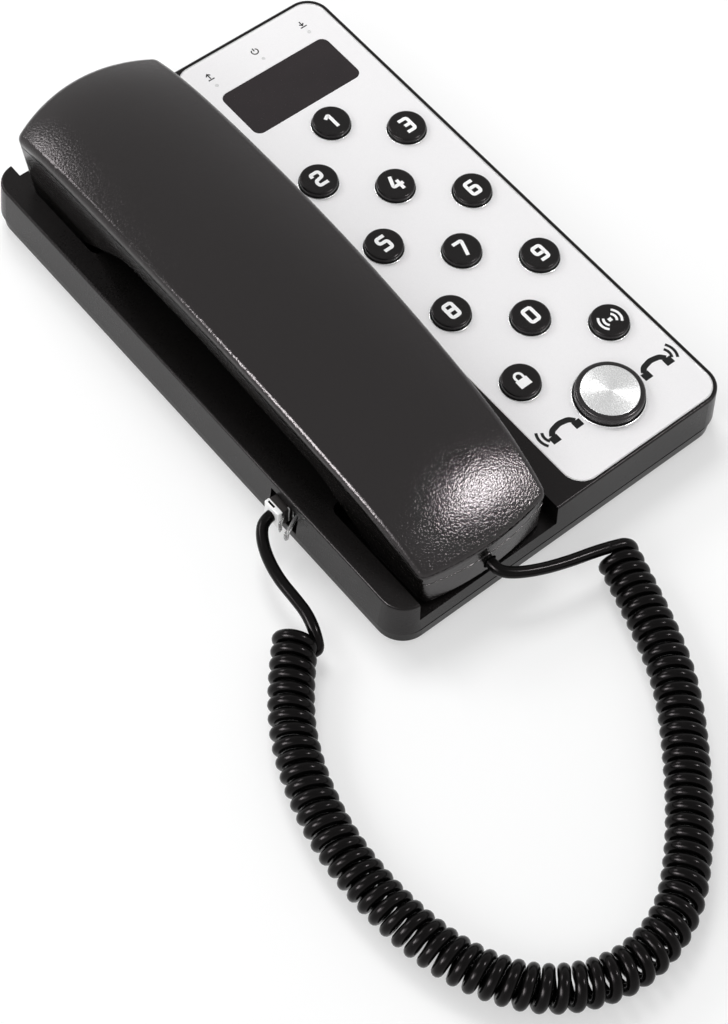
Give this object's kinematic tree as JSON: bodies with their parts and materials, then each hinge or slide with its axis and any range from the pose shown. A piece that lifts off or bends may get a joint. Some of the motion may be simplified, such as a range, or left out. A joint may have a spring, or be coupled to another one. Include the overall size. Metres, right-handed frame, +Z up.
{
  "type": "desk intercom",
  "caption": "Flat desk intercom: silver keypad face with display and large round call button, cradle with lifting handset, and a curly cord.",
  "frame": {"origin": "on the resting surface, under the middle of the base's box", "axes": "+X from the cradle side to the keypad side, +Y from the foot end to the display end, +Z up"},
  "size_m": [0.1908, 0.3218, 0.0497],
  "materials": {
    "housing_black": "fine satin grain",
    "cover_black": "fine matt grain",
    "foot_rubber": "matt",
    "screw_steel": "satin",
    "face_silver": "fine metallic satin",
    "window_smoke": "smoked gloss",
    "display_grey": "matt",
    "lamp_clear": "clear gloss",
    "pipe_clear": "clear gloss",
    "button_black": "satin gloss",
    "cap_metal": "turned",
    "key_black": "satin gloss with white digits",
    "board_green": "solder mask",
    "switch_black": "matt",
    "shield_tin": "tinned",
    "chip_black": "matt",
    "ferrite": "matt",
    "speaker_steel": "plated",
    "cone_paper": "matt paper",
    "plunger_black": "satin",
    "jack_black": "matt",
    "contact_gold": "gilt",
    "plug_clear": "clear gloss",
    "handset_black": "satin",
    "weight_steel": "plated",
    "cord_black": "gloss"
  },
  "bodies": {
    "base": {"upper_housing": "housing_black", "lower_cover": "cover_black", "rubber_feet": "foot_rubber", "cover_screws": "screw_steel", "board_screws": "screw_steel", "faceplate": "face_silver", "display_window": "window_smoke", "display_module": "display_grey", "status_lamps": "lamp_clear", "light_pipes": "pipe_clear", "keypad_board": "board_green", "key_switches": "switch_black", "main_board": "board_green", "radio_module": "shield_tin", "main_chips": "chip_black", "antenna": "ferrite", "power_inlet": "jack_black", "speaker_frame": "speaker_steel", "speaker_cone": "cone_paper", "speaker_magnet": "ferrite", "hook_board": "board_green", "hook_switch": "switch_black", "handset_jack": "jack_black", "jack_contacts": "contact_gold", "modular_plug": "plug_clear", "plug_contacts": "contact_gold", "cord_base_lead": "cord_black", "cord_curls": "cord_black"},
    "handset": {"handset_top_shell": "handset_black", "handset_bottom_shell": "handset_black", "receiver_capsule": "switch_black", "microphone_capsule": "shield_tin", "handset_weight": "weight_steel", "handset_screws": "screw_steel", "cord_grommet": "cord_black", "cord_handset_lead": "cord_black"},
    "hook": {"hook_plunger": "plunger_black"},
    "call": {"call_button": "button_black", "call_button_cap": "cap_metal"},
    "button_1": {"key_1": "key_black"},
    "button_2": {"key_2": "key_black"},
    "button_3": {"key_3": "key_black"},
    "button_4": {"key_4": "key_black"},
    "button_5": {"key_5": "key_black"},
    "button_6": {"key_6": "key_black"},
    "button_7": {"key_7": "key_black"},
    "button_8": {"key_8": "key_black"},
    "button_9": {"key_9": "key_black"},
    "button_0": {"key_0": "key_black"},
    "button_function_left": {"key_function_left": "key_black"},
    "button_function_right": {"key_function_right": "key_black"}
  },
  "joints": [
    {"name": "handset_lift", "type": "slide", "parent": "base", "child": "handset", "axis": [0, 0, 1], "range_m": [0, 0.04]},
    {"name": "hook_rise", "type": "slide", "parent": "base", "child": "hook", "axis": [0, 0, 1], "range_m": [0, 0.0022]},
    {"name": "call_press", "type": "slide", "parent": "base", "child": "call", "axis": [0, 0, -1], "range_m": [0, 0.0008], "stiffness_N_per_m": 900},
    {"name": "press_1", "type": "slide", "parent": "base", "child": "button_1", "axis": [0, 0, -1], "range_m": [0, 0.0008], "stiffness_N_per_m": 700},
    {"name": "press_2", "type": "slide", "parent": "base", "child": "button_2", "axis": [0, 0, -1], "range_m": [0, 0.0008], "stiffness_N_per_m": 700},
    {"name": "press_3", "type": "slide", "parent": "base", "child": "button_3", "axis": [0, 0, -1], "range_m": [0, 0.0008], "stiffness_N_per_m": 700},
    {"name": "press_4", "type": "slide", "parent": "base", "child": "button_4", "axis": [0, 0, -1], "range_m": [0, 0.0008], "stiffness_N_per_m": 700},
    {"name": "press_5", "type": "slide", "parent": "base", "child": "button_5", "axis": [0, 0, -1], "range_m": [0, 0.0008], "stiffness_N_per_m": 700},
    {"name": "press_6", "type": "slide", "parent": "base", "child": "button_6", "axis": [0, 0, -1], "range_m": [0, 0.0008], "stiffness_N_per_m": 700},
    {"name": "press_7", "type": "slide", "parent": "base", "child": "button_7", "axis": [0, 0, -1], "range_m": [0, 0.0008], "stiffness_N_per_m": 700},
    {"name": "press_8", "type": "slide", "parent": "base", "child": "button_8", "axis": [0, 0, -1], "range_m": [0, 0.0008], "stiffness_N_per_m": 700},
    {"name": "press_9", "type": "slide", "parent": "base", "child": "button_9", "axis": [0, 0, -1], "range_m": [0, 0.0008], "stiffness_N_per_m": 700},
    {"name": "press_0", "type": "slide", "parent": "base", "child": "button_0", "axis": [0, 0, -1], "range_m": [0, 0.0008], "stiffness_N_per_m": 700},
    {"name": "press_function_left", "type": "slide", "parent": "base", "child": "button_function_left", "axis": [0, 0, -1], "range_m": [0, 0.0008], "stiffness_N_per_m": 700},
    {"name": "press_function_right", "type": "slide", "parent": "base", "child": "button_function_right", "axis": [0, 0, -1], "range_m": [0, 0.0008], "stiffness_N_per_m": 700}
  ],
  "couplings": [
    {"joint": "hook_rise", "follows": "handset_lift", "ratio": 0.055}
  ]
}
